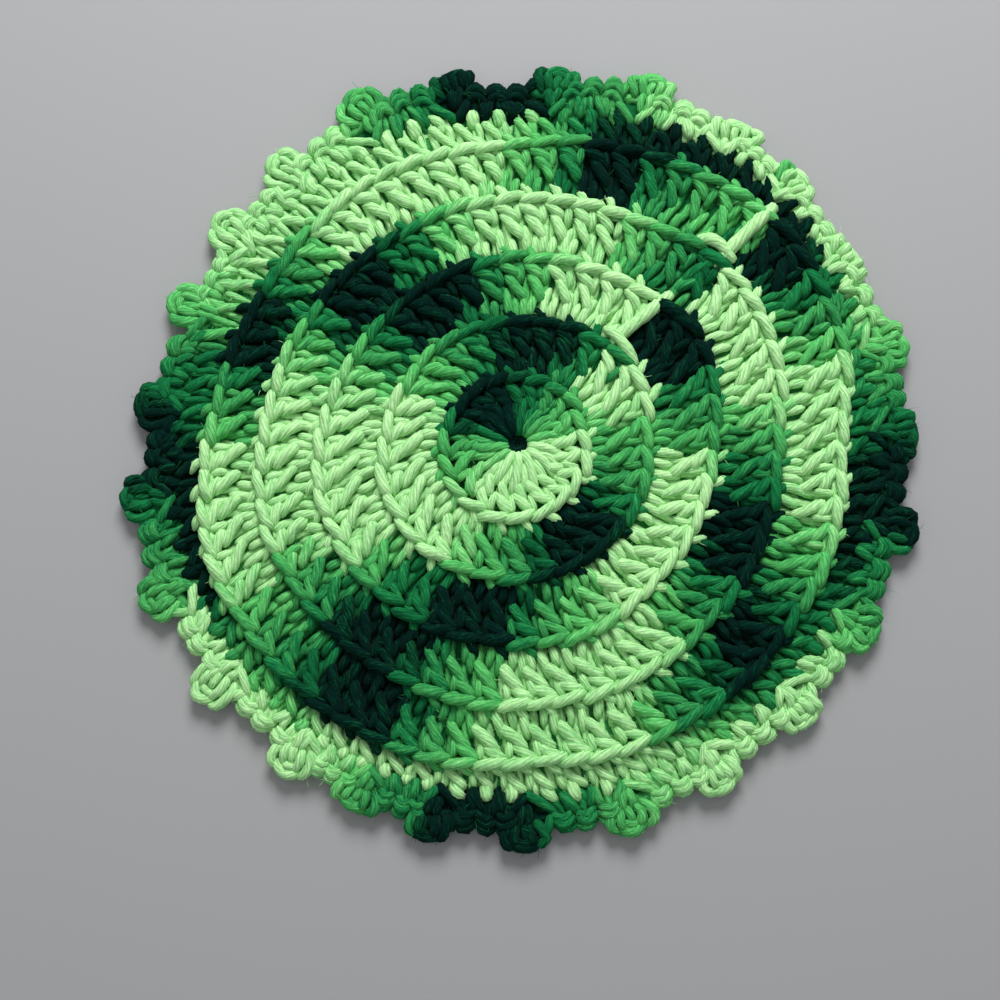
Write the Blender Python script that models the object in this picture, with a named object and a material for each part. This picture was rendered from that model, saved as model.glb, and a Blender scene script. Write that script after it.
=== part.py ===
"""Round crocheted pot holder, worked in one piece from the middle outwards.

Metres, +Z up. The mat lies flat on its wrong side, with its origin under the middle of its
outline. Five rounds of tall stitches each end in a raised rope-like ridge, a low round follows,
and the last round carries a row of picots, the small bumps round the edge.
"""

import math

import bmesh
import bpy

MM = 0.001

# Driving sizes, in millimetres
HOLE_RADIUS = 2.2
RIDGE_FOOT_IN = 2.3
RIDGE_FOOT_OUT = 1.8
FABRIC_HEIGHT = 4.6
GROOVE_HEIGHT = 4.0
RIDGE_HEIGHT = 6.3
LOW_ROUND_HEIGHT = 3.8
EDGE_RADIUS = 86.5
EDGE_HEIGHT = 4.4
EDGE_CREST_INSET = 4.2
EDGE_ROUNDING = 1.5
PICOT_TIP_HEIGHT = 4.0
PICOT_HALF_WIDTH = 5.4
PICOT_SHOULDER = 0.72

# The rounds are pulled out of true by hand tension: how far from the hole, in each direction
# counter-clockwise from +X, the five ridges and the low round's tops stand, and the last round
# ends between its picots
ROUND_REACH = (
    # direction_deg, first, second, third, fourth, fifth, low, edge
    (0, 14.9, 28.7, 43.8, 58.3, 71.1, 78.2, 88.2),
    (15, 14.8, 30.2, 45.3, 60.9, 76.1, 79.5, 88.9),
    (30, 15.0, 31.4, 47.8, 62.3, 78.8, 81.5, 89.2),
    (45, 15.6, 30.7, 45.8, 61.6, 78.2, 82.6, 90.8),
    (60, 15.6, 29.7, 44.7, 59.2, 75.3, 82.2, 91.2),
    (75, 15.4, 28.7, 43.5, 58.3, 73.1, 80.9, 91.4),
    (90, 14.9, 28.0, 42.9, 57.5, 70.2, 78.6, 86.6),
    (105, 15.2, 28.2, 42.4, 56.6, 70.3, 78.4, 89.8),
    (120, 15.4, 28.3, 41.9, 55.6, 70.4, 77.0, 87.6),
    (135, 15.5, 28.4, 41.8, 55.5, 67.8, 75.8, 84.2),
    (150, 15.7, 28.6, 41.8, 55.4, 66.0, 75.3, 82.2),
    (165, 16.3, 29.3, 43.0, 56.2, 68.0, 75.8, 83.1),
    (180, 16.9, 30.0, 44.3, 57.1, 69.0, 76.8, 83.9),
    (195, 17.3, 31.3, 46.1, 59.2, 72.0, 78.0, 87.6),
    (210, 17.5, 31.8, 46.1, 59.0, 72.4, 78.3, 86.6),
    (225, 17.7, 32.2, 46.1, 58.8, 72.4, 78.5, 86.6),
    (240, 17.7, 31.6, 45.7, 58.8, 72.7, 78.6, 88.1),
    (255, 17.6, 31.0, 45.3, 58.8, 73.0, 78.9, 89.4),
    (270, 17.4, 30.7, 45.3, 58.5, 70.6, 78.8, 89.9),
    (285, 17.2, 30.5, 45.4, 58.6, 71.8, 78.8, 87.4),
    (300, 17.0, 30.3, 44.6, 58.6, 72.0, 78.0, 86.5),
    (315, 16.7, 30.1, 43.7, 58.5, 72.2, 78.0, 86.8),
    (330, 16.1, 29.9, 43.6, 58.4, 72.3, 78.1, 87.5),
    (345, 15.4, 29.6, 43.5, 58.2, 72.4, 78.1, 87.2),
)
FIRST_RIDGE = 1
LOW = 6
EDGE = 7
SMOOTHING = (-6, -3, 0, 3, 6)

# Each picot's direction, and how far its tip reaches from the hole
PICOTS = (
    # direction_deg, reach_mm
    (1, 90.8),
    (14.5, 92.4),
    (29.5, 90.4),
    (43.5, 93.4),
    (55.5, 94.0),
    (69.5, 95.2),
    (83.5, 92.3),
    (99.5, 91.2),
    (114, 94.0),
    (129.5, 90.3),
    (142.5, 89.0),
    (156.5, 88.1),
    (173.5, 87.8),
    (188, 91.0),
    (203.5, 92.2),
    (218.5, 92.0),
    (234.5, 90.8),
    (245.5, 89.6),
    (256.5, 91.4),
    (270.5, 91.5),
    (286, 90.6),
    (300.5, 89.7),
    (315.5, 90.1),
    (331, 91.3),
    (346.5, 92.0),
)

# Points along each picot: place across its width from -1 to 1, and share of its reach
PICOT_OUTLINE = (
    # place_across, share_of_reach
    (-1.0, 0.0),
    (-0.78, 0.72),
    (-0.36, 1.0),
    (0.36, 1.0),
    (0.78, 0.72),
    (1.0, 0.0),
)
EDGE_POINTS = len(PICOTS) * len(PICOT_OUTLINE)
MIDDLE_POINTS = EDGE_POINTS // 2
HOLE_POINTS = MIDDLE_POINTS // 3


def reach_at(direction, column):
    """Distance from the hole in a direction, between the chart's rows."""
    direction %= 360
    rows = ROUND_REACH + ((ROUND_REACH[0][0] + 360,) + ROUND_REACH[0][1:],)
    for low, high in zip(rows, rows[1:]):
        if low[0] <= direction <= high[0]:
            share = (direction - low[0]) / (high[0] - low[0])
            return low[column] + (high[column] - low[column]) * share


def smooth_reach(direction, column):
    """The same distance, with the corners at the chart's rows eased away."""
    return sum(reach_at(direction + turn, column) for turn in SMOOTHING) / len(SMOOTHING)


def ring_points(column, offset, height, count):
    """One ring of points beside a ridge, or round the hole where there is no column."""
    points = []
    for step in range(count):
        direction = PICOTS[0][0] + 360 * step / count
        reach = offset + (smooth_reach(direction, column) if column else 0)
        angle = math.radians(direction)
        points.append((reach * MM * math.cos(angle), reach * MM * math.sin(angle), height * MM))
    return points


def edge_points(column, inset, height, tip_height, picot_share):
    """One ring of points along the last round, out and in over each picot."""
    points = []
    for direction, reach in PICOTS:
        half_angle = math.degrees(PICOT_HALF_WIDTH / EDGE_RADIUS)
        for place, share in PICOT_OUTLINE:
            here = direction + place * half_angle
            base = smooth_reach(here, column)
            out = base + (reach - base) * share * picot_share - inset
            up = height + (tip_height - height) * share * picot_share
            angle = math.radians(here)
            points.append((out * MM * math.cos(angle), out * MM * math.sin(angle), up * MM))
    return points


def mat_rings():
    """All rings of the mat's surface, from the hole's foot over the top to the underside's rim."""
    rings = [
        ring_points(None, HOLE_RADIUS, 0, HOLE_POINTS),
        ring_points(None, HOLE_RADIUS, GROOVE_HEIGHT - 1, HOLE_POINTS),
        ring_points(None, HOLE_RADIUS * 2, FABRIC_HEIGHT, HOLE_POINTS),
    ]
    for ridge in range(FIRST_RIDGE, LOW):
        count = MIDDLE_POINTS if ridge < FIRST_RIDGE + 2 else EDGE_POINTS
        rings.append(ring_points(ridge, -RIDGE_FOOT_IN, FABRIC_HEIGHT, count))
        rings.append(ring_points(ridge, 0, RIDGE_HEIGHT, count))
        rings.append(ring_points(ridge, RIDGE_FOOT_OUT, GROOVE_HEIGHT, count))
    rings.append(edge_points(LOW, 0, LOW_ROUND_HEIGHT, LOW_ROUND_HEIGHT, 0))
    rings.append(edge_points(EDGE, EDGE_CREST_INSET, EDGE_HEIGHT, EDGE_HEIGHT, 0))
    rings.append(edge_points(EDGE, EDGE_ROUNDING, EDGE_HEIGHT - 0.3, PICOT_TIP_HEIGHT, PICOT_SHOULDER))
    rings.append(edge_points(EDGE, 0, EDGE_HEIGHT / 2, PICOT_TIP_HEIGHT / 2, 1))
    rings.append(edge_points(EDGE, EDGE_ROUNDING, 0, 0, PICOT_SHOULDER))
    return rings


def add_ring(bm, points):
    """The points of one ring, in order round the mat."""
    return [bm.verts.new(point) for point in points]


def join_rings(bm, inner, outer):
    """Faces between a ring and the next one, which has as many points or a whole multiple."""
    fan = len(outer) // len(inner)
    for step, near in enumerate(inner):
        following = inner[(step + 1) % len(inner)]
        spread = [outer[(step * fan + turn) % len(outer)] for turn in range(fan + 1)]
        middle = (fan + 1) // 2
        for turn in range(middle):
            bm.faces.new((near, spread[turn], spread[turn + 1]))
        bm.faces.new((near, spread[middle], following))
        for turn in range(middle, fan):
            bm.faces.new((following, spread[turn], spread[turn + 1]))


def centre_on_origin(bm):
    """Slide the mat so that the origin is under the middle of its outline."""
    for axis in (0, 1):
        low = min(vert.co[axis] for vert in bm.verts)
        high = max(vert.co[axis] for vert in bm.verts)
        for vert in bm.verts:
            vert.co[axis] -= (low + high) / 2


def variegated_green_cotton():
    """Mid green of the space-dyed cotton yarn."""
    material = bpy.data.materials.new("variegated_green_cotton")
    material.use_nodes = True
    shader = material.node_tree.nodes["Principled BSDF"]
    shader.inputs["Base Color"].default_value = (0.20, 0.46, 0.16, 1)
    shader.inputs["Roughness"].default_value = 0.9
    shader.inputs["Metallic"].default_value = 0
    return material


def crocheted_mat():
    """The whole pot holder, one closed solid."""
    bm = bmesh.new()
    rings = [add_ring(bm, points) for points in mat_rings()]
    for inner, outer in zip(rings, rings[1:]):
        join_rings(bm, inner, outer)
    join_rings(bm, rings[0], rings[-1])
    centre_on_origin(bm)
    bmesh.ops.recalc_face_normals(bm, faces=bm.faces)
    mesh = bpy.data.meshes.new("crocheted_mat")
    bm.to_mesh(mesh)
    bm.free()
    mesh.shade_smooth()
    mesh.set_sharp_from_angle(angle=math.radians(60))
    mesh.materials.append(variegated_green_cotton())
    bpy.context.collection.objects.link(bpy.data.objects.new("crocheted_mat", mesh))


for old in list(bpy.data.objects):
    bpy.data.objects.remove(old)
crocheted_mat()
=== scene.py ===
"""Looks of the round crocheted pot holder: real strands of space-dyed cotton yarn, laid round by
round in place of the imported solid. Lengths are in millimetres and directions in degrees
counter-clockwise from +X, unless a name says otherwise."""

import math

import bpy
import numpy as np
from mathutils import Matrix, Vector


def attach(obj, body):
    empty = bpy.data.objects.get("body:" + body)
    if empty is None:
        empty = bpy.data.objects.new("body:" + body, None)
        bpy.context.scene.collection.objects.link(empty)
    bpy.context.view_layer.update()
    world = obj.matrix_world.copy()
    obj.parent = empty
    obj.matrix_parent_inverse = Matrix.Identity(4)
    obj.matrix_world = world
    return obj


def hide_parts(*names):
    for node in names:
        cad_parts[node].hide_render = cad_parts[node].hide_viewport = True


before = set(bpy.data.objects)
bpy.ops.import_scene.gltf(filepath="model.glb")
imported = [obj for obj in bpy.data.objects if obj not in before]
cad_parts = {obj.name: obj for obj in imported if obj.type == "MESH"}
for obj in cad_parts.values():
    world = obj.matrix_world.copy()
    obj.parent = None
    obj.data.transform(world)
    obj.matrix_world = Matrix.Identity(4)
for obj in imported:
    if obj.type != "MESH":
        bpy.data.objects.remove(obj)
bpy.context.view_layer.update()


# ---- Camera ---------------------------------------------------------------------------------
# Held over the table by hand, ten degrees off straight down, close enough for the mat to fill
# most of the square picture.

MM = 0.001
CAMERA_AIM = (-4.24, -12.57, 0.0)
CAMERA_DISTANCE = 360.0
CAMERA_TILT = 10.0
CAMERA_LENS = 57.6
CAMERA_SENSOR = 36
CAMERA_NEAREST = 10.0

camera_data = bpy.data.cameras.new("table_camera")
camera_data.lens = CAMERA_LENS
camera_data.sensor_width = CAMERA_SENSOR
camera_data.clip_start = CAMERA_NEAREST * MM
camera = bpy.data.objects.new("table_camera", camera_data)
bpy.context.scene.collection.objects.link(camera)
tilt = math.radians(CAMERA_TILT)
camera.location = (
    CAMERA_AIM[0] * MM,
    (CAMERA_AIM[1] - CAMERA_DISTANCE * math.sin(tilt)) * MM,
    (CAMERA_AIM[2] + CAMERA_DISTANCE * math.cos(tilt)) * MM,
)
camera.rotation_euler = (tilt, 0, 0)
bpy.context.scene.camera = camera


# ---- Table and light ------------------------------------------------------------------------
# A plain pale table top, lit by a soft window light from beyond the mat's upper right and by
# the room.

FLOOR_HALF = 4.0
FLOOR_DEPTH = 0.2

floor_mesh = bpy.data.meshes.new("floor")
floor_corners = ((-1, -1), (1, -1), (1, 1), (-1, 1))
floor_mesh.from_pydata(
    [(x * FLOOR_HALF, y * FLOOR_HALF, -FLOOR_DEPTH * MM) for x, y in floor_corners], [], [(0, 1, 2, 3)]
)
floor = bpy.data.objects.new("floor", floor_mesh)
bpy.context.scene.collection.objects.link(floor)
floor_paint = bpy.data.materials.new("pale_table_top")
floor_paint.use_nodes = True
floor_shader = floor_paint.node_tree.nodes["Principled BSDF"]
floor_shader.inputs["Base Color"].default_value = (0.335, 0.337, 0.343, 1)
floor_shader.inputs["Roughness"].default_value = 0.9
floor_mesh.materials.append(floor_paint)

LIGHTS = (
    # name, place_m, size_m, watts
    ("window", (0.03, 0.46, 0.46), 0.35, 4.6),
    ("room", (-0.3, -0.1, 1.1), 1.4, 1.3),
)
for name, place, size, watts in LIGHTS:
    light = bpy.data.lights.new(name, "AREA")
    light.shape = "DISK"
    light.size = size
    light.energy = watts
    lamp = bpy.data.objects.new(name, light)
    lamp.location = place
    lamp.rotation_euler = (-Vector(place)).to_track_quat("-Z", "Y").to_euler()
    bpy.context.scene.collection.objects.link(lamp)

daylight = bpy.data.worlds.new("daylight")
daylight.use_nodes = True
daylight.node_tree.nodes["Background"].inputs["Color"].default_value = (0.97, 0.98, 1.0, 1)
daylight.node_tree.nodes["Background"].inputs["Strength"].default_value = 0.38
bpy.context.scene.world = daylight
bpy.context.scene.view_settings.view_transform = "Standard"


# ---- First round ----------------------------------------------------------------------------
# Twenty half double stitches of plied cotton, worked into a drawn-up ring of yarn, so that
# their legs meet round the small hole. Only the front loops of their tops stand up as a ridge.

HOLE_CENTRE = (-0.211, -0.213)
ROUND_REACH = (
    # direction_deg, hole, first, second, third, fourth, fifth, low, edge
    (0, 0, 14.9, 28.7, 43.8, 58.3, 71.8, 78.6, 87.8),
    (15, 0, 14.8, 30.2, 45.7, 60.9, 76.9, 80.4, 89.0),
    (30, 0, 15.0, 31.4, 48.5, 63.2, 78.8, 82.6, 88.0),
    (45, 0, 15.6, 30.7, 45.8, 62.2, 78.2, 84.0, 89.4),
    (60, 0, 15.6, 29.7, 44.7, 59.2, 75.3, 83.4, 90.5),
    (75, 0, 15.4, 28.7, 43.5, 58.3, 73.1, 79.8, 91.7),
    (90, 0, 14.9, 28.0, 42.9, 57.5, 70.2, 76.8, 84.3),
    (105, 0, 15.2, 28.2, 42.4, 56.6, 70.3, 78.2, 90.6),
    (120, 0, 15.4, 28.3, 41.9, 55.6, 70.4, 77.6, 87.0),
    (135, 0, 15.5, 28.4, 41.8, 55.5, 68.6, 76.7, 83.8),
    (150, 0, 15.7, 28.6, 41.8, 55.4, 67.0, 75.9, 80.7),
    (165, 0, 16.3, 29.3, 43.0, 56.2, 68.0, 76.4, 83.1),
    (180, 0, 16.9, 30.0, 44.3, 57.1, 69.0, 76.8, 82.6),
    (195, 0, 17.3, 31.3, 46.1, 59.2, 72.8, 78.2, 88.4),
    (210, 0, 17.5, 31.8, 46.1, 59.0, 73.0, 78.3, 85.4),
    (225, 0, 17.7, 32.2, 46.1, 58.8, 73.0, 78.5, 85.5),
    (240, 0, 17.7, 31.6, 45.7, 58.8, 72.7, 78.4, 85.6),
    (255, 0, 17.6, 31.0, 45.3, 58.8, 73.0, 77.6, 86.8),
    (270, 0, 17.4, 30.7, 45.3, 58.5, 70.6, 76.6, 86.8),
    (285, 0, 17.2, 30.5, 45.4, 58.6, 71.8, 78.0, 86.4),
    (300, 0, 17.0, 30.3, 44.6, 58.6, 72.0, 78.0, 85.8),
    (315, 0, 16.7, 30.1, 43.7, 58.5, 72.2, 78.4, 86.0),
    (330, 0, 16.1, 29.9, 43.6, 58.4, 72.6, 78.9, 87.7),
    (345, 0, 15.4, 29.6, 43.5, 58.2, 73.4, 79.0, 87.0),
)
# The chart's columns for the low round and the edge, and how its corners are eased away
LOW = 6
EDGE = 7
SMOOTHING = (-6, -3, 0, 3, 6)


def reach_at(direction, ridge):
    """How far from the hole a ridge stands in each direction; rounds are pulled out of true by hand."""
    rows = np.array(ROUND_REACH, float)
    reach = 0
    for turn in SMOOTHING:
        reach = reach + np.interp((direction + turn) % 360, rows[:, 0], rows[:, ridge + 1], period=360)
    return reach / len(SMOOTHING)


def on_mat(direction, reach, height):
    """Points in metres at a direction, a distance from the hole and a height above the table."""
    angle = np.radians(direction)
    x = HOLE_CENTRE[0] + reach * np.cos(angle)
    y = HOLE_CENTRE[1] + reach * np.sin(angle)
    return np.stack((x, y, height + 0 * x), axis=-1) * MM


# The yarn: twisted plies with grooves between them, a little uneven in thickness along its length
YARN_RADIUS = 1.3
PLIES = 8
HIDDEN_PLIES = 4
GROOVE_SHARE = 0.86
TWIST_LENGTH = 19.0
TWIST_SPREAD = (0.85, 1.2)
STEP = 0.95
HIDDEN_STEP = 2.3
TIP_SHARE = 0.5
LUMPS = 0.02
PLY_UNEVENNESS = 0.45
SLUB = 0.045
SLUB_LENGTH = 6.5
GRAIN_OFFSET = 400
FEWEST_RINGS = 4
TIP_PLY = 0.5
THICKNESS_SPREAD = 0.06
# Too small to show, but it keeps a direction from vanishing
NUDGE = 1e-6
TINY = 1e-12


def ease_through(points, count):
    """Smooth paths through the given points, each with count places."""
    before = 2 * points[:, :1] - points[:, 1:2]
    after = 2 * points[:, -1:] - points[:, -2:-1]
    line = np.concatenate((before, points, after), axis=1)
    spans = points.shape[1] - 1
    at = np.linspace(0, spans, count)
    span = np.minimum(at.astype(int), spans - 1)
    t = (at - span)[None, :, None]
    a, b, c, d = (line[:, span + turn] for turn in range(4))
    return 0.5 * (2 * b + (c - a) * t + (2 * a - 5 * b + 4 * c - d) * t**2 + (3 * b - a - 3 * c + d) * t**3)


def unit(vectors):
    """The same vectors, each of length one."""
    return vectors / np.maximum(np.linalg.norm(vectors, axis=-1, keepdims=True), TINY)


def spin(points, thickness, dye, ends, draws, hidden=False):
    """Plied yarn along each path: places, faces and what each place knows of its yarn."""
    plies, step = (HIDDEN_PLIES, HIDDEN_STEP) if hidden else (PLIES, STEP)
    strands = len(points)
    lengths = np.linalg.norm(np.diff(points, axis=1), axis=2).sum(1) / MM
    rings = max(FEWEST_RINGS, int(lengths.mean() / step) + 2)
    middle = ease_through(points, rings)
    steps = np.linalg.norm(np.diff(middle, axis=1), axis=2) / MM
    along = np.concatenate((np.zeros((strands, 1)), steps.cumsum(1)), axis=1)
    tangent = unit(np.gradient(middle, axis=1))
    side = unit(np.cross(tangent[:, 0], (0.0, 0.0, 1.0)) + NUDGE)
    sides = np.empty_like(tangent)
    for ring in range(rings):
        side = unit(side - (side * tangent[:, ring]).sum(-1, keepdims=True) * tangent[:, ring])
        sides[:, ring] = side
    ups = np.cross(sides, tangent)
    share = np.linspace(-1, 1, rings)
    first_end, last_end, blunt = ends
    end = np.where(share < 0, first_end, last_end)
    profile = 1 - (1 - end) * np.abs(share) ** blunt
    slub = 1 + SLUB * np.sin(2 * np.pi * (along / SLUB_LENGTH + draws.uniform(0, 1, (strands, 1))))
    radius = YARN_RADIUS * np.reshape(thickness, (-1, 1)) * profile[None, :] * slub
    corners = 2 * plies
    spot = np.arange(corners) * 2 * np.pi / corners
    crest = (np.arange(corners) % 2 == 0).astype(float)
    twist = 2 * np.pi * along[:, :, None] / (TWIST_LENGTH * draws.uniform(*TWIST_SPREAD, (strands, 1, 1)))
    angle = spot[None, None, :] + draws.uniform(0, 2 * np.pi, (strands, 1, 1)) + twist
    proud = crest * (1 - draws.uniform(0, PLY_UNEVENNESS, (strands, 1, corners)))
    depth = GROOVE_SHARE + (1 - GROOVE_SHARE) * proud + draws.normal(0, LUMPS, (strands, rings, corners))
    reach = radius[:, :, None] * depth * MM
    shell = (
        middle[:, :, None, :]
        + (np.cos(angle) * reach)[..., None] * sides[:, :, None, :]
        + (np.sin(angle) * reach)[..., None] * ups[:, :, None, :]
    )
    tips = np.stack(
        (
            middle[:, 0] - tangent[:, 0] * (radius[:, 0] * TIP_SHARE * MM)[:, None],
            middle[:, -1] + tangent[:, -1] * (radius[:, -1] * TIP_SHARE * MM)[:, None],
        ),
        axis=1,
    )
    size = rings * corners + 2
    places = np.concatenate((shell.reshape(strands, -1, 3), tips), axis=1)
    ring_of, corner_of = np.meshgrid(np.arange(rings - 1), np.arange(corners), indexing="ij")
    following = (corner_of + 1) % corners
    quads = np.stack(
        (
            ring_of * corners + corner_of,
            ring_of * corners + following,
            (ring_of + 1) * corners + following,
            (ring_of + 1) * corners + corner_of,
        ),
        axis=-1,
    ).reshape(-1, 4)
    corner = np.arange(corners)
    after = (corner + 1) % corners
    last = (rings - 1) * corners
    near_cap = np.stack((after, corner, np.full(corners, size - 2)), axis=-1)
    far_cap = np.stack((last + corner, last + after, np.full(corners, size - 1)), axis=-1)
    starts = (np.arange(strands) * size)[:, None, None]
    ply = np.zeros((strands, size))
    ply[:, : rings * corners] = np.tile(crest, rings)[None, :]
    # The ply value sets the painted shade in the base colour: none on the crests, most in the grooves, a
    # little at the tips
    ply[:, -2:] = TIP_PLY
    fibre = np.zeros((strands, size, 3))
    fibre[:, : rings * corners, 0] = np.tile(np.cos(spot), rings)[None, :]
    fibre[:, : rings * corners, 1] = np.tile(np.sin(spot), rings)[None, :]
    fibre[:, : rings * corners, 2] = np.repeat(along, corners, axis=1)
    fibre[:, -1, 2] = along[:, -1]
    fibre[:, :, 2] += draws.uniform(0, GRAIN_OFFSET, (strands, 1))
    shades = np.repeat(np.reshape(dye, (strands, 1)), size, axis=1)
    return {
        "places": places.reshape(-1, 3),
        "quads": (quads[None] + starts).reshape(-1, 4),
        "caps": (np.concatenate((near_cap, far_cap))[None] + starts).reshape(-1, 3),
        "ply": ply.ravel(),
        "fibre": fibre.reshape(-1, 3),
        "dye": shades.ravel(),
    }


YARN_FACTS = (
    # attribute, kind, field
    ("dye", "FLOAT", "value"),
    ("ply", "FLOAT", "value"),
    ("fibre", "FLOAT_VECTOR", "vector"),
)


def make_yarn_piece(name, bundles, material):
    """One piece from several bundles of spun strands."""
    sizes = [len(bundle["places"]) for bundle in bundles]
    shifts = np.concatenate(((0,), np.cumsum(sizes)[:-1]))
    quads = np.concatenate([bundle["quads"] + shift for bundle, shift in zip(bundles, shifts)])
    caps = np.concatenate([bundle["caps"] + shift for bundle, shift in zip(bundles, shifts)])
    places = np.concatenate([bundle["places"] for bundle in bundles])
    mesh = bpy.data.meshes.new(name)
    mesh.vertices.add(len(places))
    mesh.vertices.foreach_set("co", places.ravel())
    loops = np.concatenate((quads.ravel(), caps.ravel()))
    mesh.loops.add(len(loops))
    mesh.loops.foreach_set("vertex_index", loops)
    mesh.polygons.add(len(quads) + len(caps))
    quad_starts = np.arange(len(quads)) * 4
    cap_starts = len(quads) * 4 + np.arange(len(caps)) * 3
    mesh.polygons.foreach_set("loop_start", np.concatenate((quad_starts, cap_starts)))
    mesh.update(calc_edges=True)
    mesh.shade_smooth()
    for key, kind, field in YARN_FACTS:
        values = np.concatenate([bundle[key] for bundle in bundles])
        mesh.attributes.new(key, kind, "POINT").data.foreach_set(field, values.ravel())
    mesh.materials.append(material)
    piece = bpy.data.objects.new(name, mesh)
    bpy.context.scene.collection.objects.link(piece)
    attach(piece, "root")
    return piece


DYE_SHADES = (
    # how_dark, red, green, blue
    (0.00, 0.53, 0.92, 0.415),
    (0.33, 0.115, 0.56, 0.145),
    (0.66, 0.010, 0.20, 0.058),
    (1.00, 0.0012, 0.016, 0.0125),
)
# The spans of fine streaks and wide blotches over which the colour changes, and of ply height over which
# the grooves between plies are painted darker as shade
STREAK_RANGE = (0.36, 0.64)
BLOTCH_RANGE = (0.3, 0.7)
GROOVE_RANGE = (0.0, 0.6)


def spread(tree, source, given, wanted):
    """A node's values, carried over from one range to another."""
    node = tree.nodes.new("ShaderNodeMapRange")
    for socket, value in zip(("From Min", "From Max", "To Min", "To Max"), given + wanted):
        node.inputs[socket].default_value = value
    tree.links.new(source, node.inputs["Value"])
    return node.outputs["Result"]


def work_out(tree, operation, first, second):
    """Two nodes' values, added or multiplied."""
    node = tree.nodes.new("ShaderNodeMath")
    node.operation = operation
    tree.links.new(first, node.inputs[0])
    tree.links.new(second, node.inputs[1])
    return node.outputs["Value"]


def yarn_fact(tree, name):
    """What the yarn knows of itself at each place."""
    node = tree.nodes.new("ShaderNodeAttribute")
    node.attribute_name = name
    return node.outputs


def space_dyed_cotton():
    """Matte mercerised cotton, dyed in long runs from pale green to a near-black green, with painted shade
    in the grooves between its plies.
    """
    material = bpy.data.materials.new("space_dyed_cotton")
    material.use_nodes = True
    tree = material.node_tree
    shader = tree.nodes["Principled BSDF"]
    shader.inputs["Roughness"].default_value = 0.9
    shader.inputs["Specular IOR Level"].default_value = 0.02
    shader.inputs["Sheen Weight"].default_value = 0.015
    shader.inputs["Sheen Roughness"].default_value = 0.5
    shader.inputs["Sheen Tint"].default_value = (0.8, 1.0, 0.8, 1)

    stretch = tree.nodes.new("ShaderNodeMapping")
    stretch.vector_type = "POINT"
    stretch.inputs["Scale"].default_value = (1.0, 1.0, 0.14)
    tree.links.new(yarn_fact(tree, "fibre")["Vector"], stretch.inputs["Vector"])

    streak = tree.nodes.new("ShaderNodeTexNoise")
    streak.inputs["Scale"].default_value = 4.8
    streak.inputs["Detail"].default_value = 4.5
    streak.inputs["Roughness"].default_value = 0.7
    tree.links.new(stretch.outputs["Vector"], streak.inputs["Vector"])

    blotch = tree.nodes.new("ShaderNodeTexNoise")
    blotch.inputs["Scale"].default_value = 0.9
    blotch.inputs["Detail"].default_value = 2.0
    tree.links.new(stretch.outputs["Vector"], blotch.inputs["Vector"])

    wander = spread(tree, blotch.outputs["Fac"], BLOTCH_RANGE, (-0.05, 0.08))
    uneven = spread(tree, streak.outputs["Fac"], STREAK_RANGE, (0.11, -0.07))
    fibres = work_out(tree, "ADD", wander, uneven)
    shade = work_out(tree, "ADD", yarn_fact(tree, "dye")["Fac"], fibres)

    ramp = tree.nodes.new("ShaderNodeValToRGB")
    ramp.color_ramp.interpolation = "LINEAR"
    stops = ramp.color_ramp.elements
    while len(stops) < len(DYE_SHADES):
        stops.new(0.5)
    for stop, (dark, red, green, blue) in zip(stops, DYE_SHADES):
        stop.position = dark
        stop.color = (red, green, blue, 1)
    tree.links.new(shade, ramp.inputs["Fac"])

    worn = spread(tree, streak.outputs["Fac"], STREAK_RANGE, (0.79, 1.15))
    # Painted shade: the base colour is darkened in the grooves between the plies and at the strand tips
    groove_painted_shade = spread(tree, yarn_fact(tree, "ply")["Fac"], GROOVE_RANGE, (0.7, 1.0))
    cloth = tree.nodes.new("ShaderNodeVectorMath")
    cloth.operation = "SCALE"
    tree.links.new(ramp.outputs["Color"], cloth.inputs[0])
    tree.links.new(work_out(tree, "MULTIPLY", worn, groove_painted_shade), cloth.inputs["Scale"])
    tree.links.new(cloth.outputs["Vector"], shader.inputs["Base Color"])

    bump = tree.nodes.new("ShaderNodeBump")
    bump.inputs["Strength"].default_value = 0.6
    bump.inputs["Distance"].default_value = 0.0003
    tree.links.new(streak.outputs["Fac"], bump.inputs["Height"])
    tree.links.new(bump.outputs["Normal"], shader.inputs["Normal"])
    return material


cotton = space_dyed_cotton()

# Where each round's yarn changes colour as it runs round, from 0, pale, to 1, darkest
FIRST_DYE = (
    # direction_deg, how_dark
    (5, 0.05), (15, 0.30), (45, 0.42), (75, 0.72), (92, 0.74), (102, 1), (160, 1), (169, 0.62),
    (185, 0.42), (215, 0.28), (233, 0.03), (355, 0),
)


def chart_at(chart, direction):
    """What a chart of directions gives at a direction, such as how dark the yarn is dyed there."""
    rows = np.array(sorted(chart), float)
    return np.interp(np.asarray(direction, float) % 360, rows[:, 0], rows[:, 1], period=360)


# How a strand ends: thickness left at its first and last end, and how late it thins
TUCKED = (0.5, 0.5, 3.5)
BLUNT = (0.74, 0.74, 6.0)
# The direction where each round starts and is joined
SEAM = 46.0
# How far hand tension moves a stitch: shares of its width and of its height, and millimetres
TENSION_ACROSS, TENSION_UPWARD, TENSION_RISE = 0.045, 0.016, 0.12


def hand_worked(stitches, points, draws):
    """Small unevenness of hand tension for each point of each stitch: across, upward and in height."""
    shape = (stitches, points)
    across = draws.normal(0, TENSION_ACROSS, (stitches, 1)) + draws.normal(0, TENSION_ACROSS / 2, shape)
    upward = draws.normal(0, TENSION_UPWARD, (stitches, 1)) + draws.normal(0, TENSION_UPWARD / 2, shape)
    return across, upward, draws.normal(0, TENSION_RISE, shape)


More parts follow.
